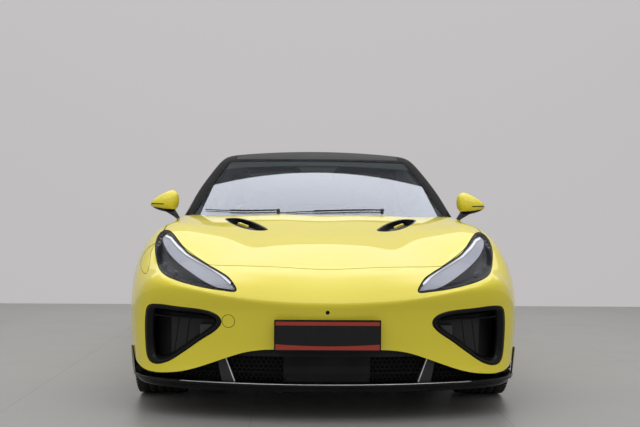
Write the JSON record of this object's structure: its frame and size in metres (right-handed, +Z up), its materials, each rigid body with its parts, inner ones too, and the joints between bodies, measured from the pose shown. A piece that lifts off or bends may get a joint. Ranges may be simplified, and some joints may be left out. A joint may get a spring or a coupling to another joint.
{
  "type": "two-door electric coupe",
  "caption": "Low two-door coupe with long hood, fastback rear window, black roof and wide wheels; doors, hood, trunk lid, steering and wheels move.",
  "frame": {"origin": "on the ground under the middle of the car", "axes": "-Y towards the nose, +X to the car's left, +Z up"},
  "size_m": [2.136, 4.715, 1.4149],
  "materials": {
    "yellow_paint": "gloss",
    "black_paint": "gloss",
    "black_trim": "satin",
    "gloss_black": "gloss",
    "dark_glass": "gloss",
    "lamp_glass": "gloss",
    "red_lens": "gloss",
    "underbody": "matte",
    "steel": "satin",
    "alloy": "satin",
    "cast": "matte",
    "tyre": "matte",
    "seat_cloth": "matte",
    "dash": "matte",
    "plate": "satin",
    "rim_leather": "satin"
  },
  "bodies": {
    "car_body": {"front_bumper": "yellow_paint", "front_fenders": "yellow_paint", "headlights": "lamp_glass", "front_grilles": "gloss_black", "front_splitter": "black_trim", "number_plates": "plate", "quarter_panels": "yellow_paint", "side_skirts": "black_trim", "rear_bumper": "yellow_paint", "tail_light": "red_lens", "rear_diffuser": "black_trim", "windshield": "dark_glass", "rear_windows": "dark_glass", "roof_panel": "black_paint", "roof_rails": "black_paint", "floor_pan": "underbody", "battery_pack": "steel", "front_frame": "steel", "cowl_panel": "black_trim", "trunk_tub": "underbody", "arch_liners": "underbody", "suspension": "cast", "drive_motor": "steel", "dashboard": "dash", "seats": "seat_cloth", "wipers": "black_trim"},
    "hood": {"hood_panel": "yellow_paint"},
    "left_door": {"left_door": "yellow_paint", "left_door_glass": "dark_glass", "left_mirror": "yellow_paint"},
    "right_door": {"right_door": "yellow_paint", "right_door_glass": "dark_glass", "right_mirror": "yellow_paint"},
    "trunk_lid": {"trunk_lid": "yellow_paint"},
    "left_knuckle": {"left_knuckle": "cast"},
    "right_knuckle": {"right_knuckle": "cast"},
    "steering_wheel": {"steering_wheel": "rim_leather"},
    "front_left_wheel": {"front_left_tyre": "tyre", "front_left_rim": "alloy"},
    "front_right_wheel": {"front_right_tyre": "tyre", "front_right_rim": "alloy"},
    "rear_left_wheel": {"rear_left_tyre": "tyre", "rear_left_rim": "alloy"},
    "rear_right_wheel": {"rear_right_tyre": "tyre", "rear_right_rim": "alloy"}
  },
  "joints": [
    {"name": "left_steering", "type": "hinge", "parent": "car_body", "child": "left_knuckle", "pos_m": [0.79, -1.4675, 0.34], "axis": [0, 0, 1], "range_deg": [-33, 33]},
    {"name": "right_steering", "type": "hinge", "parent": "car_body", "child": "right_knuckle", "pos_m": [-0.79, -1.4675, 0.34], "axis": [0, 0, 1], "range_deg": [-33, 33]},
    {"name": "steering_wheel_turn", "type": "hinge", "parent": "car_body", "child": "steering_wheel", "pos_m": [0.37, -0.2975, 0.8], "axis": [0, 0.9397, 0.342], "range_deg": [-462, 462]},
    {"name": "hood_hinge", "type": "hinge", "parent": "car_body", "child": "hood", "pos_m": [0, -0.7075, 0.915], "axis": [-1, 0, 0], "range_deg": [0, 55]},
    {"name": "trunk_lid_hinge", "type": "hinge", "parent": "car_body", "child": "trunk_lid", "pos_m": [0, 1.7925, 0.955], "axis": [1, 0, 0], "range_deg": [0, 75]},
    {"name": "left_door_hinge", "type": "hinge", "parent": "car_body", "child": "left_door", "pos_m": [0.9055, -0.8125, 0.6], "axis": [0, 0, -1], "range_deg": [0, 62]},
    {"name": "right_door_hinge", "type": "hinge", "parent": "car_body", "child": "right_door", "pos_m": [-0.9055, -0.8125, 0.6], "axis": [0, 0, 1], "range_deg": [0, 62]},
    {"name": "front_left_spin", "type": "hinge", "parent": "left_knuckle", "child": "front_left_wheel", "pos_m": [0.842, -1.4675, 0.34], "axis": [1, 0, 0], "continuous": true},
    {"name": "front_right_spin", "type": "hinge", "parent": "right_knuckle", "child": "front_right_wheel", "pos_m": [-0.842, -1.4675, 0.34], "axis": [1, 0, 0], "continuous": true},
    {"name": "rear_left_spin", "type": "hinge", "parent": "car_body", "child": "rear_left_wheel", "pos_m": [0.842, 1.3025, 0.34], "axis": [1, 0, 0], "continuous": true},
    {"name": "rear_right_spin", "type": "hinge", "parent": "car_body", "child": "rear_right_wheel", "pos_m": [-0.842, 1.3025, 0.34], "axis": [1, 0, 0], "continuous": true}
  ],
  "couplings": [
    {"joint": "right_steering", "follows": "left_steering", "ratio": 1},
    {"joint": "steering_wheel_turn", "follows": "left_steering", "ratio": 14}
  ]
}
